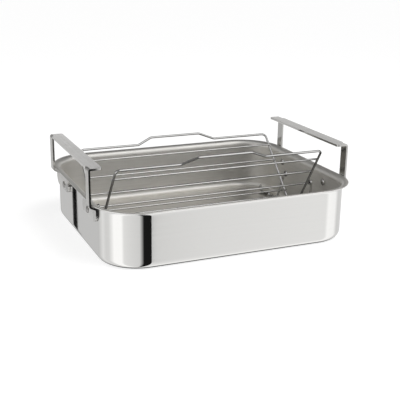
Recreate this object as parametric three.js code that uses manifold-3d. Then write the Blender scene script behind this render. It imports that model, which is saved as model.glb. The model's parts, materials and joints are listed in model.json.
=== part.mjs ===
// Roasting pan with a folding V rack.
// A drawn steel pan carries two riveted strip handles. A wire rack stands loose in it: two wings hinge on one
// rod, and each wing is propped by a wire bail whose foot stands in the notches of two wire feet.
// Millimetres, +Z up, +X along the pan towards the right handle, origin at the middle of the pan's base.

import * as THREE from 'three';
import { mergeVertices } from 'three/addons/utils/BufferGeometryUtils.js';
import Module from 'manifold-3d';

// Pan
const panLength = 406;
const panWidth = 340;
const panHeight = 86;
const sheet = 2;
const rimCornerRadius = 68.5;
const lipReach = 9; // how far the lip stands out beyond the wall
const lipBend = 5; // outside radius of the bend from the wall into the lip
const lipTurn = 80; // degrees that the lip turns out of the wall
const baseRadius = 10; // outside radius between base and wall

// Handles
const strip = 3; // thickness of the handle strip
const handleLength = 219;
const gripWidth = 20;
const gripRise = 50.8; // from the pan's rim up to the top of the grip
const gripCornerRadius = 4;
const foldRadius = 3; // at the middle of the strip, between grip and leg
const legWidth = 15;
const joggleBelowRim = 4; // from the rim down to where the leg starts to step in under the lip
const joggleRadius = 3.5;
const footLength = 69; // along the end wall, from the leg's outer edge to the round end
const footHeight = 20.5;
const footBelowLip = 0.5; // from the start of the lip's bend down to the top of the foot

// Rivets
const rivetFromFootEnd = 26;
const rivetRise = 8; // from the lower edge of the foot
const rivetShank = 5;
const rivetHead = 11;
const rivetHeadHeight = 2.2;
const rivetOuterHead = 10;
const rivetOuterHeadHeight = 1.8;

// Fits
const seatGap = 0.3; // between pieces that touch or are welded
const lipGap = 0.5; // between the lip's edge and the handle's leg
const hingeClearance = 0.4; // all round a pin inside a wire eye
const floorClearance = 0.8; // under the hinge eyes

// Rack
const rackPlaceY = -16.5; // the rack stands a little nearer the front wall
const rackSideClearance = 11.6; // from the ends of the bails' pins to the end walls
const rodDiameter = 4;
const rodOverhang = 0.5;
const frameWire = 3.6;
const crossWire = 2.8;
const wingLength = 145.4; // from the hinge rod up to the top rail
const wingTaper = 3; // how far each end wire leans in by the time it reaches the top rail
const eyeGap = 0.5; // between a hinge eye and what stands beside it on the rod
const turnInRise = 22; // where the far wing's end wires start to turn in to eyes inside the near ones
const turnInRadius = 8;
const railBendRadius = 7;
const liftRise = 12; // height of the finger hold in the top rail
const liftFoot = 134.4; // length of the finger hold where it leaves the rail
const liftFlat = 85.4; // length of its raised part
const liftBendRadius = 9;
const firstCrossWire = 35.2; // from the hinge rod, along the wing
const crossWirePitch = 29.2;
const crossWireCount = 4;
const pivotWire = 1; // the cross wire, counted from the hinge, whose ends carry the bail
const eyeWrap = 250; // degrees of wire round a pin

// Rack feet and bails
const footWire = 3.5;
const footWireHalf = 123; // from the rod to the upturned end
const footWireTurnUp = 11;
const footWireBend = 6;
const firstNotch = 36.9; // from the rod to the first notch
const notchPitch = 16.2;
const notchCount = 4;
const notchWave = 14; // length of one raised wave between notches
const notchHeight = 3.6;
const rodWave = 24; // length of the low rise that the rod rests on
const bailWire = 3.2;
const bailReach = 54.4; // from its pivot to its foot
const bailBendRadius = 5;
const pinOverhang = 1.8;
const nearNotchCount = 0; // notches between the rod and the one that props the near wing
const farNotchCount = 2;

// Fineness
const cornerSteps = 10; // facets in one round corner of the pan
const bendSteps = 4;
const eyeSteps = 10;
const waveSteps = 8;
const wireSides = 8;
const pinSides = 16;
const weldDistance = 1e-4;

// Sizes that follow
const lipAngle = THREE.MathUtils.degToRad(lipTurn);
const lipFlat = (lipReach - lipBend * (1 - Math.cos(lipAngle))) / Math.sin(lipAngle); // straight part of the lip
const lipStart = panHeight - (lipBend + sheet) * Math.sin(lipAngle) - lipFlat * Math.cos(lipAngle);
const wallX = panLength / 2 - lipReach;
const legX = panLength / 2 + lipGap + strip / 2;
const footX = wallX + seatGap + strip / 2;
const gripTop = panHeight + gripRise;
const footTop = lipStart - footBelowLip;
const footMiddle = footTop - footHeight / 2;
const rivetZ = footTop - footHeight + rivetRise;
const rivetY = handleLength / 2 - footLength + rivetFromFootEnd;
const pinEnd = wallX - sheet - rackSideClearance;
const bailLegX = pinEnd - pinOverhang - bailWire / 2;
const rackFootX = bailLegX - bailBendRadius;
const nearEyeX = rackFootX - footWire / 2 - eyeGap - frameWire / 2;
const farEyeX = nearEyeX - frameWire - eyeGap;
const frameEye = rodDiameter / 2 + hingeClearance + frameWire / 2;
const bailEye = crossWire / 2 + hingeClearance + bailWire / 2;
const crossWireOffset = -frameEye + frameWire / 2 + seatGap + crossWire / 2;
const pivotRadius = firstCrossWire + pivotWire * crossWirePitch;
const footWireZ = seatGap + footWire / 2; // heights in the rack are from the pan's floor
const rodZ = floorClearance + frameEye + frameWire / 2;
const rodRise = rodZ - rodDiameter / 2 - seatGap - footWire / 2 - footWireZ;
const bailFootDrop = rodZ - (footWireZ + footWire / 2 + seatGap + bailWire / 2);

const wasm = await Module();
wasm.setup();

const axisX = new THREE.Vector3(1, 0, 0);
const axisY = new THREE.Vector3(0, 1, 0);
const axisZ = new THREE.Vector3(0, 0, 1);

// A bent wire's centre line: one step of the tube for each point, square to the bend there.
class BentWire extends THREE.Curve {
  constructor(points) {
    super();
    this.points = points;
  }

  getPointAt(u, target = new THREE.Vector3()) {
    const place = u * (this.points.length - 1);
    const index = Math.min(Math.floor(place), this.points.length - 2);
    return target.lerpVectors(this.points[index], this.points[index + 1], place - index);
  }

  getTangentAt(u, target = new THREE.Vector3()) {
    const last = this.points.length - 1;
    const index = Math.round(u * last);
    const arriving = direction(this.points[Math.max(index - 1, 0)], this.points[Math.max(index, 1)]);
    const leaving = direction(this.points[Math.min(index, last - 1)], this.points[Math.min(index + 1, last)]);
    return target.copy(arriving).add(leaving).normalize();
  }
}

function direction(from, to) {
  return new THREE.Vector3().subVectors(to, from).normalize();
}

// One closed skin: shared corners are joined and collapsed triangles dropped.
function weld(geometry) {
  geometry.deleteAttribute('normal');
  geometry.deleteAttribute('uv');
  const merged = mergeVertices(geometry, weldDistance);
  const corners = merged.index.array;
  const kept = [];
  for (let i = 0; i < corners.length; i += 3) {
    const [a, b, c] = corners.slice(i, i + 3);
    if (a !== b && b !== c && c !== a) kept.push(a, b, c);
  }
  merged.setIndex(kept);
  return merged;
}

function solid(geometry) {
  const skin = weld(geometry);
  const vertProperties = new Float32Array(skin.attributes.position.array);
  const triVerts = new Uint32Array(skin.index.array);
  return new wasm.Manifold(new wasm.Mesh({ numProp: 3, vertProperties, triVerts }));
}

function surface(body) {
  const mesh = body.getMesh();
  const geometry = new THREE.BufferGeometry();
  geometry.setAttribute('position', new THREE.BufferAttribute(mesh.vertProperties, 3));
  geometry.setIndex(new THREE.BufferAttribute(mesh.triVerts, 1));
  return geometry;
}

// Points of an arc in a plane of two numbers, from one angle to another, both ends included.
function arc(centreA, centreB, radius, start, end, steps) {
  return Array.from({ length: steps + 1 }, (_, i) => {
    const angle = start + ((end - start) * i) / steps;
    return new THREE.Vector2(centreA + radius * Math.cos(angle), centreB + radius * Math.sin(angle));
  });
}

// A line through corner points with each inner corner rounded to its radius. A corner without a turn stays out.
function rounded(corners, radii) {
  const points = [corners[0]];
  for (let i = 1; i < corners.length - 1; i += 1) {
    const arriving = direction(corners[i - 1], corners[i]);
    const leaving = direction(corners[i], corners[i + 1]);
    const turn = arriving.angleTo(leaving);
    if (turn < weldDistance) continue;
    const radius = radii[i - 1];
    const toCentre = leaving.clone().sub(arriving).normalize();
    const centre = corners[i].clone().addScaledVector(toCentre, radius / Math.cos(turn / 2));
    const start = corners[i].clone().addScaledVector(arriving, -radius * Math.tan(turn / 2)).sub(centre);
    const axis = arriving.clone().cross(leaving).normalize();
    for (let step = 0; step <= bendSteps; step += 1) {
      points.push(start.clone().applyAxisAngle(axis, (turn * step) / bendSteps).add(centre));
    }
  }
  points.push(corners[corners.length - 1]);
  return points;
}

function wire(points, diameter) {
  const section = new THREE.Shape().absarc(0, 0, diameter / 2, 0, 2 * Math.PI);
  const extrudePath = new BentWire(points);
  const options = { steps: points.length - 1, curveSegments: wireSides / 2, bevelEnabled: false, extrudePath };
  return weld(new THREE.ExtrudeGeometry(section, options));
}

// A straight round bar along X.
function bar(diameter, length) {
  const round = new THREE.CylinderGeometry(diameter / 2, diameter / 2, length, pinSides);
  return weld(round.rotateZ(Math.PI / 2));
}

function mesh(name, geometry, material) {
  const piece = new THREE.Mesh(geometry, material.clone());
  piece.name = name;
  return piece;
}

function steel(color, roughness) {
  return new THREE.MeshStandardMaterial({ color, roughness, metalness: 1, flatShading: true });
}

const panSteel = steel(0xcfcdc8, 0.28);
const handleSteel = steel(0xc2c0bb, 0.34);
const rivetSteel = steel(0xb9b7b2, 0.3);
const rackWire = steel(0xd8d7d3, 0.16);

// The half section of the pan, as distance from a corner's centre and height: base, wall and lip, then back
// down the inside to the floor.
function panSection() {
  const wall = rimCornerRadius - lipReach;
  const quarter = Math.PI / 2;
  const baseSteps = bendSteps + 1;
  const bendEnd = Math.PI - lipAngle;
  const lipEdge = new THREE.Vector2(wall + lipReach - sheet * Math.cos(lipAngle), panHeight);
  return [
    new THREE.Vector2(0, 0),
    ...arc(wall - baseRadius, baseRadius, baseRadius, -quarter, 0, baseSteps),
    ...arc(wall + lipBend, lipStart, lipBend, Math.PI, bendEnd, baseSteps),
    new THREE.Vector2(wall + lipReach, panHeight - sheet * Math.sin(lipAngle)),
    lipEdge,
    ...arc(wall + lipBend, lipStart, lipBend + sheet, bendEnd, Math.PI, baseSteps),
    ...arc(wall - baseRadius, baseRadius, baseRadius - sheet, 0, -quarter, baseSteps),
    new THREE.Vector2(0, sheet),
  ];
}

// The section is turned once round, and its four quarters are then moved apart to the pan's corners, so that
// the facets between them stretch into the flat walls.
function panShell() {
  const columns = 4 * cornerSteps;
  const halfColumn = Math.PI / columns;
  const section = panSection().map((point) => new THREE.Vector2(point.x / Math.cos(halfColumn), point.y));
  const shell = new THREE.LatheGeometry(section, columns, halfColumn).rotateX(Math.PI / 2);
  const place = shell.attributes.position;
  for (let i = 0; i < place.count; i += 1) {
    const x = place.getX(i);
    const y = place.getY(i);
    if (Math.hypot(x, y) > weldDistance) {
      place.setX(i, x + Math.sign(x) * (panLength / 2 - rimCornerRadius));
      place.setY(i, y + Math.sign(y) * (panWidth / 2 - rimCornerRadius));
    }
  }
  return shell;
}

// The holes of the four rivets, through both end walls and the feet on them.
function rivetHoles() {
  const through = panLength + 2 * gripWidth;
  return [-1, 1].map((side) => solid(bar(rivetShank + 2 * seatGap, through).translate(0, side * rivetY, rivetZ)));
}

function pan() {
  const body = rivetHoles().reduce((left, hole) => left.subtract(hole), solid(panShell()));
  return mesh('pan_body', surface(body), panSteel);
}

// The outline of a bent strip: its middle line set off to both sides by half its thickness.
function stripOutline(line) {
  const path = new BentWire(line);
  const last = line.length - 1;
  const sides = [-1, 1].map((side) => line.map((point, i) => {
    const along = path.getTangentAt(i / last);
    const before = direction(line[Math.max(i - 1, 0)], line[Math.max(i, 1)]);
    const reach = (side * strip) / 2 / along.dot(before);
    return new THREE.Vector2(point.x - along.z * reach, point.z + along.x * reach);
  }));
  return new THREE.Shape([...sides[0], ...sides[1].reverse()]);
}

// Grip, leg, step under the lip and foot of one end of the handle, seen along the grip.
function handleEnd() {
  const gripZ = gripTop - strip / 2;
  const line = rounded([
    new THREE.Vector3(legX + strip / 2 - gripWidth + gripCornerRadius, 0, gripZ),
    new THREE.Vector3(legX, 0, gripZ),
    new THREE.Vector3(legX, 0, panHeight - joggleBelowRim),
    new THREE.Vector3(footX, 0, footTop),
    new THREE.Vector3(footX, 0, footMiddle),
  ], [foldRadius, joggleRadius, joggleRadius]);
  const end = new THREE.ExtrudeGeometry(stripOutline(line), { depth: legWidth, bevelEnabled: false });
  return end.applyMatrix4(new THREE.Matrix4().makeBasis(axisX, axisZ, axisY.clone().negate()));
}

// The foot on the end wall: a plate with round ends, which the leg ends on.
function handleFoot() {
  const round = footHeight / 2;
  const middle = footLength / 2 - round;
  const plate = new THREE.Shape()
    .absarc(middle, 0, round, -Math.PI / 2, Math.PI / 2)
    .absarc(-middle, 0, round, Math.PI / 2, 1.5 * Math.PI);
  const foot = new THREE.ExtrudeGeometry(plate, { depth: strip, curveSegments: 2 * bendSteps, bevelEnabled: false });
  foot.translate(0, footMiddle, footX - strip / 2);
  return foot.applyMatrix4(new THREE.Matrix4().makeBasis(axisY, axisZ, axisX));
}

// The flat of the grip: whole length on the inner side, and between the legs out to the outer edge.
function gripFlat() {
  const half = handleLength / 2;
  const inner = legX + strip / 2 - gripWidth;
  const bendStart = legX - foldRadius;
  const outer = legX + strip / 2;
  const flat = new THREE.Shape()
    .moveTo(bendStart, half)
    .absarc(inner + gripCornerRadius, half - gripCornerRadius, gripCornerRadius, Math.PI / 2, Math.PI)
    .absarc(inner + gripCornerRadius, gripCornerRadius - half, gripCornerRadius, Math.PI, 1.5 * Math.PI)
    .lineTo(bendStart, -half)
    .lineTo(bendStart, legWidth - half)
    .lineTo(outer, legWidth - half)
    .lineTo(outer, half - legWidth)
    .lineTo(bendStart, half - legWidth);
  const grip = new THREE.ExtrudeGeometry(flat, { depth: strip, curveSegments: bendSteps, bevelEnabled: false });
  return grip.translate(0, 0, gripTop - strip);
}

// The right handle; the left one is the same piece turned round.
function handleGeometry() {
  let body = solid(gripFlat());
  for (const side of [-1, 1]) {
    const outerEdge = side > 0 ? handleLength / 2 : legWidth - handleLength / 2;
    const footPlace = side * (handleLength / 2 - footLength / 2);
    body = body.add(solid(handleEnd().translate(0, outerEdge, 0)));
    body = body.add(solid(handleFoot().translate(0, footPlace, 0)));
  }
  return surface(rivetHoles().reduce((left, hole) => left.subtract(hole), body));
}

// A rivet along X with a domed head inside the pan and a flatter one on the handle's foot.
function rivetGeometry() {
  const gripLength = sheet + strip + 3 * seatGap;
  const shank = rivetShank / 2;
  const dome = (radius, height, steps) => {
    const ball = (radius * radius + height * height) / (2 * height);
    return arc(0, 0, ball, 0, Math.asin(radius / ball), steps).map((point) => ({
      out: point.y,
      rise: point.x - (ball - height),
    }));
  };
  const inner = dome(rivetHead / 2, rivetHeadHeight, bendSteps);
  const outer = dome(rivetOuterHead / 2, rivetOuterHeadHeight, bendSteps);
  const section = [
    ...inner.map((point) => new THREE.Vector2(point.out, -point.rise)),
    new THREE.Vector2(shank, 0),
    new THREE.Vector2(shank, gripLength),
    ...outer.reverse().map((point) => new THREE.Vector2(point.out, gripLength + point.rise)),
  ];
  return weld(new THREE.LatheGeometry(section, pinSides).rotateZ(-Math.PI / 2));
}

function handles() {
  const ends = { right: 0, left: Math.PI };
  const places = { near: -1, far: 1 };
  return Object.entries(ends).map(([end, turn]) => {
    const group = new THREE.Group();
    group.rotation.z = turn;
    group.add(mesh(`handle_${end}`, handleGeometry(), handleSteel));
    for (const [place, side] of Object.entries(places)) {
      const rivet = mesh(`rivet_${end}_${place}`, rivetGeometry(), rivetSteel);
      const localSide = end === 'right' ? side : -side;
      rivet.position.set(wallX - sheet - seatGap, localSide * rivetY, rivetZ);
      group.add(rivet);
    }
    return group;
  });
}

// A wire eye round a pin along X, from the tangent point at the given angle onwards; angles turn from Y to Z.
function eye(x, radius, start, wrap) {
  const turn = THREE.MathUtils.degToRad(wrap);
  return arc(0, 0, radius, start, start + turn, eyeSteps).map((point) => new THREE.Vector3(x, point.x, point.y));
}

// How far an end wire stands from the middle, at a height up the wing.
function endWireX(along) {
  return nearEyeX - (wingTaper * along) / wingLength;
}

// One wing's frame: a single wire from eye to eye, over the top rail with its raised finger hold. Z runs up
// the wing from the hinge rod, and +Y is the wing's upper side.
function wingFrame(eyeX) {
  const point = (x, z) => new THREE.Vector3(x, -frameEye, z);
  const leftEye = eye(-eyeX, frameEye, Math.PI, eyeWrap).reverse();
  const rightEye = eye(eyeX, frameEye, Math.PI, eyeWrap);
  const rail = rounded([
    leftEye[eyeSteps],
    point(-endWireX(turnInRise), turnInRise),
    point(-endWireX(wingLength), wingLength),
    point(-liftFoot / 2, wingLength),
    point(-liftFlat / 2, wingLength + liftRise),
    point(liftFlat / 2, wingLength + liftRise),
    point(liftFoot / 2, wingLength),
    point(endWireX(wingLength), wingLength),
    point(endWireX(turnInRise), turnInRise),
    rightEye[0],
  ], [turnInRadius, railBendRadius, ...Array(4).fill(liftBendRadius), railBendRadius, turnInRadius]);
  return wire([...leftEye.slice(0, -1), ...rail, ...rightEye.slice(1)], frameWire);
}

// The four straight wires that carry the roast; the pivot wire runs on past the frame as the bail's pins.
function crossWires(name) {
  return Array.from({ length: crossWireCount }, (_, i) => {
    const along = firstCrossWire + i * crossWirePitch;
    const half = i === pivotWire ? pinEnd : endWireX(along) + frameWire / 2;
    const piece = mesh(`${name}_cross_wire_${i + 1}`, bar(crossWire, 2 * half), rackWire);
    piece.position.set(0, crossWireOffset, along);
    return piece;
  });
}

// The bail hangs from its pivot along X: an eye, a leg, the long foot and the same again.
function bailGeometry() {
  const touch = 1.5 * Math.PI - Math.acos(bailEye / bailReach);
  const hook = (x) => eye(x, bailEye, touch, -eyeWrap);
  const leftEye = hook(-bailLegX).reverse();
  const rightEye = hook(bailLegX);
  const legs = rounded([
    leftEye[eyeSteps],
    new THREE.Vector3(-bailLegX, 0, -bailReach),
    new THREE.Vector3(bailLegX, 0, -bailReach),
    rightEye[0],
  ], [bailBendRadius, bailBendRadius]);
  return wire([...leftEye.slice(0, -1), ...legs, ...rightEye.slice(1)], bailWire);
}

// The lean of a wing and of its bail, in radians from upright, when the bail's foot stands in a notch: the
// rod, the pivot and the foot make a triangle with three known sides.
function propped(notch) {
  const footOut = firstNotch + notch * notchPitch;
  const footAway = Math.hypot(footOut, bailFootDrop);
  const pivotAway = Math.hypot(pivotRadius, crossWireOffset);
  const corner = (pivotAway ** 2 + footAway ** 2 - bailReach ** 2) / (2 * pivotAway * footAway);
  const pivotRise = Math.acos(corner) - Math.atan2(bailFootDrop, footOut);
  const wing = Math.PI / 2 - pivotRise - Math.atan2(-crossWireOffset, pivotRadius);
  const bail = Math.asin((footOut - pivotAway * Math.cos(pivotRise)) / bailReach);
  return { wing, bail };
}

// A wing and its bail, leaning towards -Y from the rod.
function wing(name, eyeX, notch) {
  const lean = propped(notch);
  const group = new THREE.Group();
  group.rotation.x = lean.wing;
  group.add(mesh(`${name}_wing_frame`, wingFrame(eyeX), rackWire), ...crossWires(name));
  const bail = mesh(`${name}_bail`, bailGeometry(), rackWire);
  bail.position.set(0, crossWireOffset, pivotRadius);
  bail.rotation.x = -lean.bail - lean.wing;
  group.add(bail);
  return group;
}

// One rise of a notched foot, as a wave of the given length and height about its middle.
function wave(middle, length, height) {
  return Array.from({ length: waveSteps + 1 }, (_, i) => {
    const share = i / waveSteps;
    const rise = (height / 2) * (1 - Math.cos(2 * Math.PI * share));
    return new THREE.Vector3(0, middle + (share - 0.5) * length, footWireZ + rise);
  });
}

// A notched foot along Y: upturned ends, a rise after each notch and the low rise under the rod.
function notchedFoot() {
  const waves = [];
  for (let i = -notchCount; i <= notchCount; i += 1) {
    const out = firstNotch + (Math.abs(i) - 0.5) * notchPitch;
    waves.push(...(i === 0 ? wave(0, rodWave, rodRise) : wave(Math.sign(i) * out, notchWave, notchHeight)));
  }
  const end = (side, rise) => new THREE.Vector3(0, side * footWireHalf, footWireZ + rise);
  const nearEnd = rounded([end(-1, footWireTurnUp), end(-1, 0), waves[0]], [footWireBend]);
  const farEnd = rounded([waves[waves.length - 1], end(1, 0), end(1, footWireTurnUp)], [footWireBend]);
  return wire([...nearEnd, ...waves.slice(1, -1), ...farEnd], footWire);
}

function rack() {
  const group = new THREE.Group();
  group.position.set(0, rackPlaceY, sheet);
  for (const [end, side] of Object.entries({ left: -1, right: 1 })) {
    const foot = mesh(`rack_foot_${end}`, notchedFoot(), rackWire);
    foot.position.x = side * rackFootX;
    group.add(foot);
  }
  const hinges = new THREE.Group();
  hinges.position.z = rodZ;
  hinges.add(mesh('hinge_rod', bar(rodDiameter, 2 * rackFootX + footWire + 2 * rodOverhang), rackWire));
  const farSide = new THREE.Group();
  farSide.rotation.z = Math.PI;
  farSide.add(wing('far', farEyeX, farNotchCount));
  hinges.add(wing('near', nearEyeX, nearNotchCount), farSide);
  group.add(hinges);
  return group;
}

const roastingPan = new THREE.Group();
roastingPan.add(pan(), ...handles(), rack());

export default roastingPan;
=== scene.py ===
"""A roasting pan with a folding V rack, dressed in steel and chrome and set in a white studio.

Every piece is modelled in millimetres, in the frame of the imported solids, and stands for one of them: the
drawn pan, its riveted strip handles and the bent wires of the rack. The weld spots of the rack are added.
"""

import json
import logging
import math
from dataclasses import Field, dataclass, field, replace
from enum import Enum

import bmesh
import bpy
from bmesh.types import BMEdge, BMesh, BMFace, BMVert
from bpy.types import Material, Node, NodeSocket, NodeTree, Object
from mathutils import Matrix, Quaternion, Vector


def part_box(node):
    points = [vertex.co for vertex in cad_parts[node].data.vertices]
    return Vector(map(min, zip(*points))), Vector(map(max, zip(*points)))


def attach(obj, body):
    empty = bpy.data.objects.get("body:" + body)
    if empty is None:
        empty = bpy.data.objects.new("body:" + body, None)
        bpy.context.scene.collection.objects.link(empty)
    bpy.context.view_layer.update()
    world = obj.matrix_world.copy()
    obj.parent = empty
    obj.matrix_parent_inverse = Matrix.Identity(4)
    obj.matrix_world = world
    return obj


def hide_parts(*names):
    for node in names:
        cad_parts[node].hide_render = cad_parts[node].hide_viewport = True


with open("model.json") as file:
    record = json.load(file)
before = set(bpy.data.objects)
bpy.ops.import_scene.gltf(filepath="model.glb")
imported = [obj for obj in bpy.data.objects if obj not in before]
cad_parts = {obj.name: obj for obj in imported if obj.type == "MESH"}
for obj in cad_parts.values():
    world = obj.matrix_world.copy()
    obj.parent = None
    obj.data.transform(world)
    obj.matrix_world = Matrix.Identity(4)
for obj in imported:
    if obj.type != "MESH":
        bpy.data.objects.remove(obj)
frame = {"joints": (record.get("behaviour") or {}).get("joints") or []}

# Lengths are in millimetres, and MM carries them to the frame's metres.
MM = 0.001
WELD_DISTANCE = 1e-4
PICK_DISTANCE = 0.01
SHARP_EDGE = math.radians(38)
BEND_STEP = math.radians(7)
LEAST_BEND_STEPS = 2

AXIS_X = Vector((1, 0, 0))
AXIS_Y = Vector((0, 1, 0))
AXIS_Z = Vector((0, 0, 1))

Color = tuple[float, float, float]
Span = tuple[float, float]
Setting = NodeSocket | float | tuple[float, ...]

UNIT_SPAN: Span = (0.0, 1.0)

log = logging.getLogger("roasting_pan")


class End(Enum):
    """The two ends of the pan, along X."""

    LEFT = -1
    RIGHT = 1


class Side(Enum):
    """The two long sides of the pan, along Y."""

    NEAR = -1
    FAR = 1


class Slot(Enum):
    """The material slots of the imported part."""

    PAN = "pan_steel"
    HANDLE = "handle_steel"
    RIVET = "rivet_steel"
    WIRE = "rack_wire"


class Body(Enum):
    """The bodies that pieces ride on."""

    PAN = "pan"
    RACK = "rack_base"
    NEAR_WING = "near_wing"
    FAR_WING = "far_wing"
    NEAR_BAIL = "near_bail"
    FAR_BAIL = "far_bail"


class Ease(Enum):
    """How a value passes between the ends of a span."""

    STRAIGHT = "LINEAR"
    SOFT = "SMOOTHSTEP"


def hinge_place(joint: str) -> Vector:
    """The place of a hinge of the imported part.

    Args:
        joint: Name of the joint.

    Returns:
        A point on its axis, in millimetres.
    """
    found = next(row for row in frame["joints"] if row["name"] == joint)
    return Vector(found["pos_m"]) / MM


def label(option: Enum) -> str:
    """An end or a side as it is written in the names of pieces."""
    return option.name.lower()


def half_turn(turned: bool) -> Matrix:
    """Half a turn about Z for a piece that is turned round, or none."""
    return Matrix.Rotation(math.pi if turned else 0, 4, "Z")


def vector_field(x: float, y: float, z: float) -> Field:
    """A dataclass field that starts as a vector."""
    return field(default_factory=lambda: Vector((x, y, z)))


def verts_of(geometry: list[BMVert | BMEdge | BMFace]) -> list[BMVert]:
    """The vertices among the elements that an operator gives back."""
    return [item for item in geometry if isinstance(item, BMVert)]


def edges_of(geometry: list[BMVert | BMEdge | BMFace]) -> list[BMEdge]:
    """The edges among the elements that an operator gives back."""
    return [item for item in geometry if isinstance(item, BMEdge)]


def flat_sheet(length: float, width: float) -> BMesh:
    """Cuts a flat rectangle with its middle at the origin.

    Args:
        length: Its size along X.
        width: Its size along Y.

    Returns:
        A mesh of one face.
    """
    bm = bmesh.new()
    bmesh.ops.create_grid(bm, x_segments=1, y_segments=1, size=0.5)
    bmesh.ops.scale(bm, vec=(length, width, 1), verts=bm.verts)
    return bm


def slice_at(bm: BMesh, place: Vector, facing: Vector) -> None:
    """Cuts a mesh along a plane and keeps both halves.

    Args:
        bm: The mesh.
        place: A point on the plane.
        facing: The plane's normal.
    """
    everything = bm.verts[:] + bm.edges[:] + bm.faces[:]
    bmesh.ops.bisect_plane(bm, geom=everything, plane_co=place, plane_no=facing)


def turn_round(bm: BMesh, columns: int) -> None:
    """Turns a half section once round Z.

    Args:
        bm: The mesh that holds the section and nothing else.
        columns: How many columns of faces it makes.
    """
    bmesh.ops.spin(
        bm, geom=bm.verts[:] + bm.edges[:], cent=(0, 0, 0), axis=AXIS_Z, angle=2 * math.pi, steps=columns,
        use_merge=True)


def set_up(name: str, bm: BMesh, materials: list[Material]) -> Object:
    """Makes an object of a finished mesh and puts it into the scene.

    Args:
        name: Name of the object.
        bm: Its mesh, in metres, which is used up.
        materials: Its materials, in the order of the faces' numbers.

    Returns:
        The object, which sits at the origin.
    """
    mesh = bpy.data.meshes.new(name)
    bm.to_mesh(mesh)
    bm.free()
    for material in materials:
        mesh.materials.append(material)
    made = bpy.data.objects.new(name, mesh)
    bpy.context.scene.collection.objects.link(made)
    return made


class Bench:
    """Adds and links the nodes of one node tree."""

    def __init__(self, tree: NodeTree) -> None:
        """Takes over a tree and empties it."""
        self.tree = tree
        self.tree.nodes.clear()

    def add(self, kind: str, **settings: object) -> Node:
        """Adds a node.

        Args:
            kind: The node's type name.
            settings: Properties of the node by name.

        Returns:
            The new node.
        """
        node = self.tree.nodes.new(kind)
        for name, value in settings.items():
            setattr(node, name, value)
        return node

    def link(self, source: NodeSocket, target: NodeSocket) -> None:
        """Links an output to an input."""
        self.tree.links.new(source, target)

    def fill(self, node: Node, **values: Setting) -> Node:
        """Links or sets inputs of a node.

        Args:
            node: The node.
            values: Sockets or plain values by the input's name.

        Returns:
            The same node.
        """
        for name, value in values.items():
            if isinstance(value, NodeSocket):
                self.link(value, node.inputs[name])
            else:
                node.inputs[name].default_value = value
        return node

    def math(self, operation: str, first: NodeSocket, second: NodeSocket | float) -> NodeSocket:
        """Adds a math node.

        Args:
            operation: The node's operation.
            first: The first value's socket.
            second: A socket or a number.

        Returns:
            The result's socket.
        """
        node = self.add("ShaderNodeMath", operation=operation)
        self.link(first, node.inputs[0])
        if isinstance(second, NodeSocket):
            self.link(second, node.inputs[1])
        else:
            node.inputs[1].default_value = second
        return node.outputs[0]

    def span(self, value: NodeSocket, source: Span, target: Span = UNIT_SPAN,
             ease: Ease = Ease.STRAIGHT) -> NodeSocket:
        """Carries a value from one span of numbers to another, held at its ends.

        Args:
            value: The value's socket.
            source: The span that it comes in.
            target: The span that it goes out in.
            ease: How it passes between the ends.

        Returns:
            The result's socket.
        """
        node = self.add("ShaderNodeMapRange", interpolation_type=ease.value)
        self.link(value, node.inputs["Value"])
        node.inputs["From Min"].default_value, node.inputs["From Max"].default_value = source
        node.inputs["To Min"].default_value, node.inputs["To Max"].default_value = target
        return node.outputs["Result"]

    def mix(self, share: NodeSocket, first: Setting, second: Setting) -> NodeSocket:
        """Mixes two colours.

        Args:
            share: The second one's share.
            first: A colour or its socket.
            second: A colour or its socket.

        Returns:
            The mixed colour's socket.
        """
        node = self.add("ShaderNodeMix", data_type="RGBA")
        return self.fill(node, Factor=share, A=first, B=second).outputs["Result"]

    def dim(self, color: NodeSocket, share: NodeSocket) -> NodeSocket:
        """Multiplies a colour by a value.

        Args:
            color: The colour's socket.
            share: The value's socket.

        Returns:
            The dimmed colour's socket.
        """
        node = self.add("ShaderNodeVectorMath", operation="SCALE")
        self.link(color, node.inputs[0])
        return self.fill(node, Scale=share).outputs[0]

    def noise(self, **values: Setting) -> NodeSocket:
        """Adds a noise texture with these inputs and gives its value's socket."""
        return self.fill(self.add("ShaderNodeTexNoise"), **values).outputs["Fac"]

    def group(self, tree: NodeTree, **values: Setting) -> Node:
        """Places a node group with these inputs."""
        return self.fill(self.add("ShaderNodeGroup", node_tree=tree), **values)


def blank_material(name: str) -> tuple[Material, Bench]:
    """Starts a material.

    Args:
        name: Name of the material.

    Returns:
        The material and the bench of its empty tree.
    """
    made = bpy.data.materials.new(name)
    made.use_nodes = True
    return made, Bench(made.node_tree)


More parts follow.
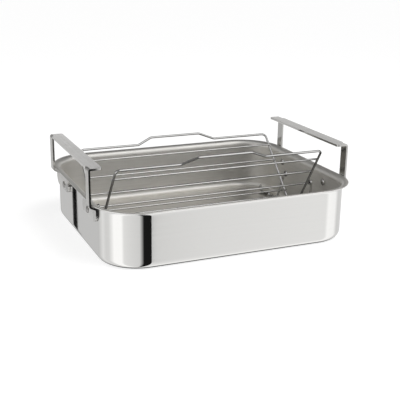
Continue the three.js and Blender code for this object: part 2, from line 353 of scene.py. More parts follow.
class NodeGroups:
    """The shader effects that the finishes share, each built once."""

    FINE_DETAIL = 4.0
    FINE_ROUGHNESS = 0.65
    FINE_SHARE = 0.6
    BROAD_SCALE = 0.12
    BROAD_DETAIL = 2.0
    SHADE_SPAN: Span = (0.35, 0.65)
    CLOUD_DETAIL = 3.0
    CLOUD_SWIRL = 0.6
    CLOUD_SPAN: Span = (0.3, 0.7)
    SCRATCH_SCALE = 2.3
    SCRATCH_WIDTH = 0.006
    SCRATCHED_SPAN: Span = (0.52, 0.62)
    FLAT_POINTINESS = 0.5

    @staticmethod
    def _open(name: str, inputs: list[str], outputs: list[str]) -> tuple[Bench, Node, Node]:
        """Starts a node group, whose sockets are values apart from the one named Vector.

        Args:
            name: Name of the group.
            inputs: Names of the inputs.
            outputs: Names of the outputs.

        Returns:
            The bench of the group, its input node and its output node.
        """
        tree = bpy.data.node_groups.new(name, "ShaderNodeTree")
        for way, sockets in (("INPUT", inputs), ("OUTPUT", outputs)):
            for socket in sockets:
                kind = "NodeSocketVector" if socket == "Vector" else "NodeSocketFloat"
                tree.interface.new_socket(socket, in_out=way, socket_type=kind)
        bench = Bench(tree)
        return bench, bench.add("NodeGroupInput"), bench.add("NodeGroupOutput")

    @classmethod
    def brush_lines(cls) -> NodeTree:
        """Fine lines left by a brush: a vector stretched along the lines gives their height and their shade.

        Returns:
            The group.
        """
        name = "brush_lines"
        if name in bpy.data.node_groups:
            return bpy.data.node_groups[name]
        bench, given, made = cls._open(name, ["Vector"], ["Height", "Shade"])
        place = given.outputs["Vector"]
        fine = bench.noise(Vector=place, Scale=1.0, Detail=cls.FINE_DETAIL, Roughness=cls.FINE_ROUGHNESS)
        broad = bench.noise(Vector=place, Scale=cls.BROAD_SCALE, Detail=cls.BROAD_DETAIL)
        both = bench.math("ADD", bench.math("MULTIPLY", fine, cls.FINE_SHARE),
                          bench.math("MULTIPLY", broad, 1 - cls.FINE_SHARE))
        bench.fill(made, Height=fine, Shade=bench.span(both, cls.SHADE_SPAN))
        return bench.tree

    @classmethod
    def handling(cls) -> NodeTree:
        """Soft clouds where hands and cloths have gone, and a few thin scratches.

        Returns:
            The group.
        """
        name = "handling_marks"
        if name in bpy.data.node_groups:
            return bpy.data.node_groups[name]
        bench, given, made = cls._open(name, ["Vector", "Scale"], ["Cloud", "Scratch"])
        place, scale = given.outputs["Vector"], given.outputs["Scale"]
        cloud = bench.noise(Vector=place, Scale=scale, Detail=cls.CLOUD_DETAIL, Distortion=cls.CLOUD_SWIRL)
        cells = bench.add("ShaderNodeTexVoronoi", feature="DISTANCE_TO_EDGE")
        bench.fill(cells, Vector=place, Scale=bench.math("MULTIPLY", scale, cls.SCRATCH_SCALE))
        line = bench.span(cells.outputs["Distance"], (0.0, cls.SCRATCH_WIDTH), (1.0, 0.0))
        scratch = bench.math("MULTIPLY", line, bench.span(cloud, cls.SCRATCHED_SPAN))
        bench.fill(made, Cloud=bench.span(cloud, cls.CLOUD_SPAN), Scratch=scratch)
        return bench.tree

    @classmethod
    def edge_rub(cls) -> NodeTree:
        """A mask of the outer edges, where the colour is brightened as a painted highlight.

        Returns:
            The group.
        """
        name = "edge_rub"
        if name in bpy.data.node_groups:
            return bpy.data.node_groups[name]
        bench, given, made = cls._open(name, ["Reach"], ["Mask"])
        shape = bench.add("ShaderNodeNewGeometry")
        rise = bench.math("SUBTRACT", shape.outputs["Pointiness"], cls.FLAT_POINTINESS)
        scaled = bench.math("DIVIDE", rise, given.outputs["Reach"])
        bench.fill(made, Mask=bench.span(scaled, UNIT_SPAN))
        return bench.tree


@dataclass(frozen=True)
class SteelFinish:
    """A brushed or polished steel surface.

    The lines run along the direction in which line_pitch is long. An edge reach of 0 leaves the edges without
    their painted highlight, and the outline darkness is the share of its brightness that a round piece loses
    towards its outline, as a painted dark reflection.
    """

    name: str
    tone: Color
    line_tone: Color
    roughness: Span
    line_pitch: tuple[float, float, float]
    line_depth: float
    cloud_size: float
    cloud_haze: float
    edge_highlight_tone: Color = (0.82, 0.81, 0.79)
    edge_reach: float = 0.12
    painted_outline_shade: float = 0.0
    painted_outline_span: Span = (0.12, 0.42)

    def material(self) -> Material:
        """Builds the finish as a material.

        Returns:
            The material, made once and shared by the pieces that wear it.
        """
        if self.name in bpy.data.materials:
            return bpy.data.materials[self.name]
        made, bench = blank_material(self.name)
        place = bench.add("ShaderNodeTexCoord").outputs["Object"]
        pitches = [1 / (pitch * MM) for pitch in self.line_pitch]
        stretched = bench.fill(bench.add("ShaderNodeMapping"), Vector=place, Scale=pitches).outputs[0]
        lines = bench.group(NodeGroups.brush_lines(), Vector=stretched)
        marks = bench.group(NodeGroups.handling(), Vector=place, Scale=1 / (self.cloud_size * MM))
        shader = bench.fill(
            bench.add("ShaderNodeBsdfPrincipled"), Metallic=1.0, Normal=self._normal(bench, lines),
            Roughness=self._roughness(bench, lines, marks))
        bench.link(self._paint_outline_shade(bench, self._color(bench, lines)), shader.inputs["Base Color"])
        bench.fill(bench.add("ShaderNodeOutputMaterial"), Surface=shader.outputs[0])
        return made

    def _color(self, bench: Bench, lines: Node) -> NodeSocket:
        """Mixes the tone of the lines into the steel, and paints a highlight onto its edges in a bright tone.

        Args:
            bench: The material's bench.
            lines: The brush lines.

        Returns:
            The colour's socket.
        """
        brushed = bench.mix(lines.outputs["Shade"], (*self.line_tone, 1), (*self.tone, 1))
        if not self.edge_reach:
            return brushed
        # Painted highlight: the colour is brightened where the mesh is pointed, at the edges.
        edge_highlight = bench.group(NodeGroups.edge_rub(), Reach=self.edge_reach)
        return bench.mix(edge_highlight.outputs["Mask"], brushed, (*self.edge_highlight_tone, 1))

    def _paint_outline_shade(self, bench: Bench, color: NodeSocket) -> NodeSocket:
        """Darkens a colour towards the outline as a painted dark reflection, in place of dark surroundings
        that round steel mirrors there.

        Args:
            bench: The material's bench.
            color: The colour's socket.

        Returns:
            The socket of the colour to use.
        """
        if not self.painted_outline_shade:
            return color
        # Painted dark reflection: the colour darkens towards the outline by the facing angle.
        facing = bench.add("ShaderNodeLayerWeight").outputs["Facing"]
        return bench.dim(color, bench.span(facing, self.painted_outline_span, (1.0, 1 - self.painted_outline_shade)))

    def _roughness(self, bench: Bench, lines: Node, marks: Node) -> NodeSocket:
        """Varies the roughness along the lines and under the marks of handling.

        Args:
            bench: The material's bench.
            lines: The brush lines.
            marks: The marks of handling.

        Returns:
            The roughness's socket.
        """
        rough = bench.span(lines.outputs["Shade"], UNIT_SPAN, self.roughness)
        for mark in ("Cloud", "Scratch"):
            rough = bench.math("ADD", rough, bench.math("MULTIPLY", marks.outputs[mark], self.cloud_haze))
        return rough

    def _normal(self, bench: Bench, lines: Node) -> NodeSocket:
        """Raises the lines as a bump.

        Args:
            bench: The material's bench.
            lines: The brush lines.

        Returns:
            The normal's socket.
        """
        bump = bench.add("ShaderNodeBump")
        bench.fill(bump, Strength=1.0, Distance=self.line_depth * MM, Height=lines.outputs["Height"])
        return bump.outputs["Normal"]


POLISHED_OUTSIDE = SteelFinish(
    name="pan_outside_polished", tone=(0.74, 0.735, 0.72), line_tone=(0.725, 0.72, 0.705),
    roughness=(0.045, 0.03), line_pitch=(60, 60, 0.35), line_depth=0.0002, cloud_size=70, cloud_haze=0.015,
    edge_reach=0.0)
# The inner wall and lip wear a far paler tone than the floor of the same drawn sheet: painted light, which
# brightens the walls inside.
SATIN_INSIDE = SteelFinish(
    name="pan_inside_satin", tone=(0.93, 0.915, 0.88), line_tone=(0.85, 0.835, 0.8), roughness=(0.5, 0.42),
    line_pitch=(50, 50, 0.5), line_depth=0.004, cloud_size=60, cloud_haze=0.04, edge_reach=0.0)
SATIN_FLOOR = replace(
    SATIN_INSIDE, name="pan_floor_satin", tone=(0.65, 0.634, 0.602), line_tone=(0.585, 0.569, 0.537),
    roughness=(0.34, 0.27), line_pitch=(50, 0.5, 50))
HANDLE_FACE = SteelFinish(
    name="handle_face_satin", tone=(0.66, 0.65, 0.63), line_tone=(0.57, 0.56, 0.54), roughness=(0.22, 0.15),
    line_pitch=(0.35, 25, 0.35), line_depth=0.003, cloud_size=25, cloud_haze=0.04)
# The strip's edges and its back wear darker tones than its face, though they are the same steel: painted
# shade.
HANDLE_EDGE = SteelFinish(
    name="handle_edge_polished", tone=(0.44, 0.435, 0.42), line_tone=(0.38, 0.375, 0.36),
    roughness=(0.1, 0.06), line_pitch=(12, 12, 12), line_depth=0.001, cloud_size=15, cloud_haze=0.03)
HANDLE_BACK = SteelFinish(
    name="handle_back_polished", tone=(0.55, 0.545, 0.53), line_tone=(0.5, 0.495, 0.48),
    roughness=(0.07, 0.045), line_pitch=(12, 12, 12), line_depth=0.0005, cloud_size=15, cloud_haze=0.02,
    edge_reach=0.0)
# The rivet heads and the wires darken towards their outlines: a painted dark reflection.
RIVET_HEAD = SteelFinish(
    name="rivet_head_satin", tone=(0.76, 0.75, 0.73), line_tone=(0.68, 0.67, 0.65), roughness=(0.14, 0.09),
    line_pitch=(0.8, 0.8, 0.8), line_depth=0.002, cloud_size=6, cloud_haze=0.04, painted_outline_shade=0.5)
PLATED_WIRE = SteelFinish(
    name="rack_wire_chrome", tone=(0.86, 0.86, 0.85), line_tone=(0.79, 0.79, 0.78), roughness=(0.1, 0.06),
    line_pitch=(9, 9, 9), line_depth=0.0003, cloud_size=18, cloud_haze=0.03, painted_outline_shade=0.75)
# The frame wire wears a darker tone than the cross wires of the same plating: painted shade.
FRAME_WIRE = replace(
    PLATED_WIRE, name="frame_wire_plated", tone=(0.64, 0.64, 0.635), line_tone=(0.58, 0.58, 0.575),
    painted_outline_shade=0.7)
WELD_SPOT = SteelFinish(
    name="rack_weld_spot", tone=(0.82, 0.81, 0.79), line_tone=(0.68, 0.67, 0.65), roughness=(0.3, 0.18),
    line_pitch=(1.2, 1.2, 1.2), line_depth=0.02, cloud_size=4, cloud_haze=0.06)


class Pen:
    """Draws a section as a chain of edges in the XZ plane, by extruding and spinning its last vertex."""

    def __init__(self, bm: BMesh, x: float, z: float) -> None:
        """Sets the pen down at a point."""
        self.bm = bm
        self.tip = bm.verts.new((x, 0, z))

    def line_to(self, x: float, z: float) -> None:
        """Draws a straight line to a point."""
        self.tip = bmesh.ops.extrude_vert_indiv(self.bm, verts=[self.tip])["verts"][0]
        self.tip.co = (x, 0, z)

    def flat_to(self, x: float, z: float, hold: float) -> None:
        """Draws a line that shades flat between its ends, by an extra point near each of them.

        Args:
            x: Where it ends.
            z: Where it ends.
            hold: How far the extra points are from the ends.
        """
        start, end = self.tip.co.copy(), Vector((x, 0, z))
        step = (end - start).normalized() * hold
        for point in (start + step, end - step, end):
            self.line_to(point.x, point.z)

    def arc(self, x: float, z: float, turn: float, steps: int) -> None:
        """Draws an arc.

        Args:
            x: Where its centre is.
            z: Where its centre is.
            turn: Its angle in radians, above 0 from X towards Z.
            steps: How many edges it has.
        """
        made = bmesh.ops.spin(self.bm, geom=[self.tip], cent=(x, 0, z), axis=-AXIS_Y, angle=turn, steps=steps)
        self.tip = verts_of(made["geom_last"])[0]


class Bender:
    """Bends a wire or strip as a bending machine does: it feeds straight lengths and turns round formers."""

    def __init__(self, bm: BMesh, edges: list[BMEdge], tip: Vector, heading: Vector) -> None:
        """Takes the edges of the section that is fed.

        Args:
            bm: The mesh that grows.
            edges: The section's edges.
            tip: The middle of the section.
            heading: The way that it is fed.
        """
        self.bm = bm
        self.edges = edges
        self.tip = tip.copy()
        self.heading = heading.normalized()

    def feed(self, length: float) -> None:
        """Feeds a straight length.

        Args:
            length: How long it is. One that is next to nothing is skipped.
        """
        if length < WELD_DISTANCE:
            return
        made = bmesh.ops.extrude_edge_only(self.bm, edges=self.edges)["geom"]
        verts = verts_of(made)
        bmesh.ops.translate(self.bm, verts=verts, vec=self.heading * length)
        self.edges = [edge for edge in edges_of(made) if set(verts).issuperset(edge.verts)]
        self.tip += self.heading * length

    def bend(self, radius: float, turn: float, axis: Vector) -> None:
        """Turns the section round a former.

        Args:
            radius: From the former's middle to the section's middle.
            turn: The angle in radians, about the axis.
            axis: The former's axis.
        """
        centre = self.tip + axis.cross(self.heading).normalized() * math.copysign(radius, turn)
        verts = list({vert for edge in self.edges for vert in edge.verts})
        steps = max(LEAST_BEND_STEPS, math.ceil(abs(turn) / BEND_STEP))
        made = bmesh.ops.spin(
            self.bm, geom=verts + self.edges, cent=centre, axis=axis, angle=turn, steps=steps)
        self.edges = edges_of(made["geom_last"])
        spun = Quaternion(axis, turn)
        self.tip = centre + spun @ (self.tip - centre)
        self.heading = spun @ self.heading

    def follow(self, corners: list[Vector], radii: list[float]) -> None:
        """Feeds through corner points, with each corner but the last rounded.

        Args:
            corners: The corner points that are still ahead.
            radii: The bend radius at each corner but the last.
        """
        for corner, after, radius in zip(corners, corners[1:], radii):
            self.heading = (corner - self.tip).normalized()
            leaving = (after - corner).normalized()
            turn = self.heading.angle(leaving)
            self.feed((corner - self.tip).length - radius * math.tan(turn / 2))
            self.bend(radius, turn, self.heading.cross(leaving).normalized())
        self.feed((corners[-1] - self.tip).length)

    def wave(self, length: float, height: float, axis: Vector) -> None:
        """Bends one rise and fall out of four arcs.

        Args:
            length: From where it leaves the line to where it comes back.
            height: How far it rises.
            axis: The formers' axis.
        """
        turn = 2 * math.atan2(2 * height, length)
        radius = length / 4 / math.sin(turn)
        for sign in (1, -1, -1, 1):
            self.bend(radius, sign * turn, axis)


@dataclass
class Piece:
    """A finished mesh and how it joins the frame."""

    name: str
    bm: BMesh
    body: Body
    slot: Slot
    finishes: list[SteelFinish]
    nodes: tuple[str, ...] = ()

    def place(self, where: Matrix = Matrix.Identity(4)) -> Object:
        """Moves the mesh to its place and hands it to the frame.

        Args:
            where: Its place, in millimetres.

        Returns:
            The finished object, which sits at the origin.
        """
        bmesh.ops.remove_doubles(self.bm, verts=self.bm.verts, dist=WELD_DISTANCE)
        bmesh.ops.recalc_face_normals(self.bm, faces=self.bm.faces)
        bmesh.ops.transform(self.bm, matrix=Matrix.Scale(MM, 4) @ where, verts=self.bm.verts)
        for edge in self.bm.edges:
            edge.smooth = edge.calc_face_angle(0) < SHARP_EDGE
        for face in self.bm.faces:
            face.smooth = True
        made = set_up(self.name, self.bm, [finish.material() for finish in self.finishes])
        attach(made, self.body.value)
        if self.nodes:
            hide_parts(*self.nodes)
        log.info("%s: %d faces, rides on %s", self.name, len(made.data.polygons), self.body.value)
        return made


@dataclass
class Wire:
    """One round wire on the bending machine."""

    diameter: float
    start: Vector
    heading: Vector
    sides: int = 20
    end_round: float = 0.28
    end_steps: int = 3
    bender: Bender = field(init=False)

    def __post_init__(self) -> None:
        """Puts the wire's first section into the machine."""
        bm = bmesh.new()
        facing = AXIS_Z.rotation_difference(self.heading).to_matrix().to_4x4()
        bmesh.ops.create_circle(
            bm, segments=self.sides, radius=self.diameter / 2, matrix=Matrix.Translation(self.start) @ facing)
        self.bender = Bender(bm, bm.edges[:], self.start, self.heading)

    def hand_over(self, name: str, body: Body, node: str, where: Matrix = Matrix.Identity(4),
                  finish: SteelFinish = PLATED_WIRE) -> None:
        """Cuts the wire off, rounds the edges of its two ends and puts it in its place.

        Args:
            name: Name of the piece.
            body: The body that it rides on.
            node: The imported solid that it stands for.
            where: Its place, in millimetres.
            finish: Its finish.
        """
        bm = self.bender.bm
        caps = bmesh.ops.holes_fill(bm, edges=[edge for edge in bm.edges if edge.is_boundary])["faces"]
        bmesh.ops.bevel(
            bm, geom=[edge for cap in caps for edge in cap.edges], offset=self.diameter * self.end_round,
            segments=self.end_steps, profile=0.5, affect="EDGES", material=-1)
        Piece(name, bm, body, Slot.WIRE, [finish], (node,)).place(where)


@dataclass
class PanBody:
    """The pan: one drawn sheet with a rounded base, upright walls and a lip that flares out.

    A face that rises above floor_slope is the floor where it lies low, and one above lip_slope the lip.
    """

    length: float
    width: float
    height: float
    sheet: float = 2.0
    rim_corner: float = 68.5
    lip_reach: float = 9.0
    lip_bend: float = 5.0
    lip_turn: float = math.radians(80)
    base_radius: float = 10.0
    hold: float = 1.0
    corner_columns: int = 28
    arc_steps: int = 10
    floor_slope: float = 0.7
    lip_slope: float = 0.1

    @classmethod
    def from_frame(cls) -> "PanBody":
        """Takes the pan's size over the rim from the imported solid.

        Returns:
            The pan.
        """
        low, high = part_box("pan_body")
        size = (high - low) / MM
        return cls(length=size.x, width=size.y, height=size.z)

    @property
    def wall(self) -> float:
        """Outer radius of the wall at a corner."""
        return self.rim_corner - self.lip_reach

    @property
    def wall_x(self) -> float:
        """Where the outer face of the end wall is."""
        return self.length / 2 - self.lip_reach

    @property
    def lip_start(self) -> float:
        """Height at which the wall starts to bend out into the lip."""
        flat = (self.lip_reach - self.lip_bend * (1 - math.cos(self.lip_turn))) / math.tan(self.lip_turn)
        return self.height - (self.lip_bend + self.sheet) * math.sin(self.lip_turn) - flat

    def _section(self, bm: BMesh) -> None:
        """Draws the half section: base, wall and lip, round the lip's edge and back down the inside.

        Args:
            bm: The mesh to draw in.
        """
        edge = self.sheet / 2
        across, along = math.cos(self.lip_turn), math.sin(self.lip_turn)
        bend_x = self.wall + self.lip_bend
        base_x = self.wall - self.base_radius
        straight = (self.lip_reach - self.lip_bend * (1 - across) - edge * (1 - across)) / along
        pen = Pen(bm, 0, 0)
        pen.flat_to(base_x, 0, self.hold)
        pen.arc(base_x, self.base_radius, math.pi / 2, self.arc_steps)
        pen.flat_to(self.wall, self.lip_start, self.hold)
        pen.arc(bend_x, self.lip_start, -self.lip_turn, self.arc_steps)
        lip = pen.tip.co + Vector((along, 0, across)) * straight
        pen.line_to(lip.x, lip.z)
        pen.arc(lip.x - across * edge, lip.z + along * edge, math.pi, self.arc_steps)
        back = pen.tip.co - Vector((along, 0, across)) * straight
        pen.line_to(back.x, back.z)
        pen.arc(bend_x, self.lip_start, self.lip_turn, self.arc_steps)
        pen.flat_to(self.wall - self.sheet, self.base_radius, self.hold)
        pen.arc(base_x, self.base_radius, -math.pi / 2, self.arc_steps)
        pen.flat_to(0, self.sheet, self.hold)

    def _shell(self) -> BMesh:
        """Turns the section once round, then moves the four quarters apart to the pan's corners.

        Returns:
            The closed shell.
        """
        bm = bmesh.new()
        self._section(bm)
        columns = 4 * self.corner_columns
        half_column = math.pi / columns
        wider = 1 / math.cos(half_column)
        bmesh.ops.scale(bm, vec=(wider, wider, 1), verts=bm.verts)
        bmesh.ops.rotate(bm, cent=(0, 0, 0), matrix=Matrix.Rotation(half_column, 3, "Z"), verts=bm.verts)
        turn_round(bm, columns)
        bmesh.ops.remove_doubles(bm, verts=bm.verts, dist=WELD_DISTANCE)
        apart = (self.length / 2 - self.rim_corner, self.width / 2 - self.rim_corner)
        for axis, distance in enumerate(apart):
            for sign in (-1, 1):
                verts = [vert for vert in bm.verts if sign * vert.co[axis] > WELD_DISTANCE]
                shift = Vector((0, 0, 0))
                shift[axis] = sign * distance
                bmesh.ops.translate(bm, verts=verts, vec=shift)
                slice_at(bm, shift, shift)
        return bm

    def _finish(self, face: BMFace) -> SteelFinish:
        """Tells the floor inside, the inner wall with the lip, and the outside apart.

        Args:
            face: A face of the shell.

        Returns:
            The finish that it wears.
        """
        place = face.calc_center_median()
        if face.normal.z > self.floor_slope and place.z < self.base_radius:
            return SATIN_FLOOR
        inward = face.normal.dot(Vector((0, 0, self.height / 2)) - place) > 0
        return SATIN_INSIDE if inward or face.normal.z > self.lip_slope else POLISHED_OUTSIDE

    def build(self) -> None:
        """Builds the pan's shell."""
        finishes = [POLISHED_OUTSIDE, SATIN_INSIDE, SATIN_FLOOR]
        bm = self._shell()
        bmesh.ops.recalc_face_normals(bm, faces=bm.faces)
        for face in bm.faces:
            face.material_index = finishes.index(self._finish(face))
        Piece("pan_shell", bm, Body.PAN, Slot.PAN, finishes, ("pan_body",)).place()


@dataclass
class Handle:
    """A handle of one folded strip: a flat grip, two legs that step in under the lip, and two feet."""

    pan: PanBody
    end: End
    strip: float = 3.0
    length: float = 219.0
    grip_width: float = 20.0
    grip_rise: float = 50.8
    grip_corner: float = 4.0
    fold_radius: float = 2.2
    leg_width: float = 15.0
    joggle_below_rim: float = 4.0
    joggle_radius: float = 3.5
    foot_length: float = 69.0
    foot_height: float = 20.5
    foot_below_lip: float = 0.5
    foot_corner: float = 13.0
    shoulder: float = 3.0
    rivet_rise: float = 8.0
    lip_gap: float = 0.5
    seat_gap: float = 0.3
    corner_steps: int = 8
    edge_round: float = 0.9
    edge_steps: int = 3

    @property
    def leg_x(self) -> float:
        """Where the middle of the leg's strip is."""
        return self.pan.length / 2 + self.lip_gap + self.strip / 2

    @property
    def foot_x(self) -> float:
        """Where the middle of the foot's strip is."""
        return self.pan.wall_x + self.seat_gap + self.strip / 2

    @property
    def grip_z(self) -> float:
        """Height of the middle of the grip's strip."""
        return self.pan.height + self.grip_rise - self.strip / 2

    @property
    def foot_top(self) -> float:
        """Height of the upper edge of the feet, tucked in under the lip."""
        return self.pan.lip_start - self.foot_below_lip

    @property
    def foot_bottom(self) -> float:
        """Height of the lower edge of the feet."""
        return self.foot_top - self.foot_height

    @property
    def fold_x(self) -> float:
        """Where the grip starts to fold down into the legs."""
        return self.leg_x - self.fold_radius

    def _grip(self) -> BMesh:
        """Cuts the flat of the grip, with its inner corners rounded and the roots of the legs left open.

        Returns:
            A mesh of the grip alone.
        """
        grip_x = self.leg_x + self.strip / 2 - self.grip_width / 2
        leg_y = self.length / 2 - self.leg_width
        bm = flat_sheet(self.grip_width, self.length)
        bmesh.ops.translate(bm, vec=(grip_x, 0, self.grip_z), verts=bm.verts)
        for place, facing in ((self.fold_x, AXIS_X), (-leg_y, AXIS_Y), (leg_y, AXIS_Y)):
            slice_at(bm, facing * place, facing)
        spare = [
            face for face in bm.faces
            if face.calc_center_median().x > self.fold_x and abs(face.calc_center_median().y) > leg_y]
        bmesh.ops.delete(bm, geom=spare, context="FACES")
        corners = [
            vert for vert in bm.verts
            if vert.co.x < grip_x and abs(vert.co.y) > self.length / 2 - WELD_DISTANCE]
        self._round(bm, corners, self.grip_corner)
        return bm

    def _round(self, bm: BMesh, corners: list[BMVert], radius: float) -> None:
        """Rounds corners of the flat strip.

        Args:
            bm: The handle's mesh.
            corners: The corners' vertices.
            radius: How far they are rounded.
        """
        bmesh.ops.bevel(
            bm, geom=corners, offset=radius, segments=self.corner_steps, profile=0.5, affect="VERTICES",
            material=-1, clamp_overlap=False)

    def _leg(self, bm: BMesh, side: Side) -> None:
        """Folds one leg down from the grip, steps it in under the lip and ends it in its foot.

        Args:
            bm: The handle's mesh.
            side: The leg's side.
        """
        middle = side.value * (self.length - self.leg_width) / 2
        root = [
            edge for edge in bm.edges
            if all(abs(vert.co.x - self.fold_x) < WELD_DISTANCE for vert in edge.verts)
            and abs(sum(vert.co.y for vert in edge.verts) / 2 - middle) < WELD_DISTANCE]
        bender = Bender(bm, root, Vector((self.fold_x, middle, self.grip_z)), AXIS_X)
        bender.follow(
            [Vector((self.leg_x, middle, self.grip_z)),
             Vector((self.leg_x, middle, self.pan.height - self.joggle_below_rim)),
             Vector((self.foot_x, middle, self.foot_top)),
             Vector((self.foot_x, middle, self.foot_bottom))],
            [self.fold_radius, self.joggle_radius, self.joggle_radius])
        self._foot(bm, side.value)

    def _foot(self, bm: BMesh, sign: int) -> None:
        """Draws the foot out along the wall from the straight end of the leg and rounds its ends.

        Args:
            bm: The handle's mesh.
            sign: The side of the leg along Y, 1 or -1.
        """
        leg_y = sign * (self.length / 2 - self.leg_width)
        root = next(
            edge for edge in bm.edges
            if all(abs(vert.co.x - self.foot_x) < PICK_DISTANCE for vert in edge.verts)
            and all(abs(vert.co.y - leg_y) < PICK_DISTANCE for vert in edge.verts))
        shoulder = self._draw_out(bm, root, -sign * self.shoulder)
        max(shoulder.verts, key=lambda vert: vert.co.z).co.z = self.foot_top
        straight = self.foot_length - self.leg_width - self.shoulder - self.foot_height / 2
        end_edge = self._draw_out(bm, shoulder, -sign * straight)
        split = bmesh.ops.subdivide_edges(bm, edges=[end_edge], cuts=1)["geom_inner"]
        middle = verts_of(split)[0]
        spoke = min(middle.link_edges, key=lambda edge: edge.other_vert(middle).co.z)
        bmesh.ops.spin(
            bm, geom=[*spoke.verts, spoke], cent=middle.co, axis=AXIS_X, angle=-sign * math.pi,
            steps=2 * self.corner_steps)
        outer_corner = [
            vert for vert in bm.verts
            if vert.co.z < self.foot_bottom + PICK_DISTANCE
            and sign * vert.co.y > self.length / 2 - PICK_DISTANCE]
        self._round(bm, outer_corner, self.foot_corner)

    @staticmethod
    def _draw_out(bm: BMesh, edge: BMEdge, distance: float) -> BMEdge:
        """Draws the flat strip out along Y from one of its edges.

        Args:
            bm: The handle's mesh.
            edge: The edge to start from.
            distance: How far, and which way.

        Returns:
            The new edge.
        """
        made = bmesh.ops.extrude_edge_only(bm, edges=[edge])["geom"]
        verts = verts_of(made)
        bmesh.ops.translate(bm, verts=verts, vec=AXIS_Y * distance)
        return next(drawn for drawn in edges_of(made) if set(drawn.verts) == set(verts))

    def build(self) -> None:
        """Builds the handle from its folded middle face, thickened and with its edges broken."""
        bm = self._grip()
        for side in Side:
            self._leg(bm, side)
        end = label(self.end)
        finishes = [HANDLE_FACE, HANDLE_EDGE, HANDLE_BACK]
        piece = Piece(f"folded_handle_{end}", bm, Body.PAN, Slot.HANDLE, finishes, (f"handle_{end}",))
        made = piece.place(half_turn(self.end is End.LEFT))
        thick = made.modifiers.new("strip", "SOLIDIFY")
        thick.thickness = self.strip * MM
        thick.offset = 0
        thick.use_even_offset = True
        # The edges and the back take the darker finishes: painted shade.
        thick.material_offset_rim = finishes.index(HANDLE_EDGE)
        thick.material_offset = finishes.index(HANDLE_BACK)
        broken = made.modifiers.new("broken_edges", "BEVEL")
        broken.width = self.edge_round * MM
        broken.segments = self.edge_steps
        broken.limit_method = "ANGLE"
        broken.angle_limit = SHARP_EDGE
        broken.harden_normals = True


@dataclass
class Rivet:
    """A rivet through a handle's foot and the end wall, domed on both sides.

    A head is given by its diameter and its height.
    """

    handle: Handle
    side: Side
    from_foot_end: float = 26.0
    shank: float = 5.0
    inner_head: tuple[float, float] = (11.0, 2.2)
    outer_head: tuple[float, float] = (10.0, 1.8)
    head_edge: float = 0.5
    gap_count: int = 3
    columns: int = 40
    dome_steps: int = 10

    def _dome_turn(self, head: tuple[float, float]) -> tuple[float, float]:
        """The ball radius of a head and the angle from its pole to its edge.

        Args:
            head: Its diameter and its height.

        Returns:
            The radius and the angle in radians.
        """
        radius, rise = head[0] / 2, head[1] - self.head_edge
        ball = (radius ** 2 + rise ** 2) / (2 * rise)
        return ball, math.asin(radius / ball)

    def _section(self, bm: BMesh) -> None:
        """Draws the half section from the inner pole along the shank to the outer pole.

        Args:
            bm: The mesh to draw in.
        """
        grip = self.handle.pan.sheet + self.handle.strip + self.gap_count * self.handle.seat_gap
        ball, turn = self._dome_turn(self.inner_head)
        pen = Pen(bm, 0, -self.inner_head[1])
        pen.arc(0, ball - self.inner_head[1], turn, self.dome_steps)
        pen.line_to(self.inner_head[0] / 2, 0)
        pen.line_to(self.shank / 2, 0)
        pen.line_to(self.shank / 2, grip)
        pen.line_to(self.outer_head[0] / 2, grip)
        pen.line_to(self.outer_head[0] / 2, grip + self.head_edge)
        ball, turn = self._dome_turn(self.outer_head)
        pen.arc(0, grip + self.outer_head[1] - ball, turn, self.dome_steps)

    def build(self) -> None:
        """Builds the rivet."""
        bm = bmesh.new()
        self._section(bm)
        turn_round(bm, self.columns)
        handle, pan = self.handle, self.handle.pan
        across = self.side.value * (handle.length / 2 - handle.foot_length + self.from_foot_end)
        seat = Vector((
            pan.wall_x - pan.sheet - handle.seat_gap, handle.end.value * across,
            handle.foot_bottom + handle.rivet_rise))
        along_x = Matrix.Rotation(math.pi / 2, 4, "Y")
        name = f"{label(handle.end)}_{label(self.side)}"
        piece = Piece(f"domed_rivet_{name}", bm, Body.PAN, Slot.RIVET, [RIVET_HEAD], (f"rivet_{name}",))
        piece.place(half_turn(handle.end is End.LEFT) @ Matrix.Translation(seat) @ along_x)


@dataclass
class WeldSpots:
    """A row of weld spots, as flattened beads of one piece."""

    name: str
    body: Body
    places: list[Vector]
    half_size: Vector
    columns: int = 16
    rows: int = 10

    def build(self, where: Matrix = Matrix.Identity(4)) -> None:
        """Builds the beads.

        Args:
            where: The place of the whole row, in millimetres.
        """
        bm = bmesh.new()
        for place in self.places:
            squash = Matrix.Translation(place) @ Matrix.Diagonal((*self.half_size, 1))
            bmesh.ops.create_uvsphere(
                bm, u_segments=self.columns, v_segments=self.rows, radius=1, matrix=squash)
        Piece(self.name, bm, self.body, Slot.WIRE, [WELD_SPOT]).place(where)


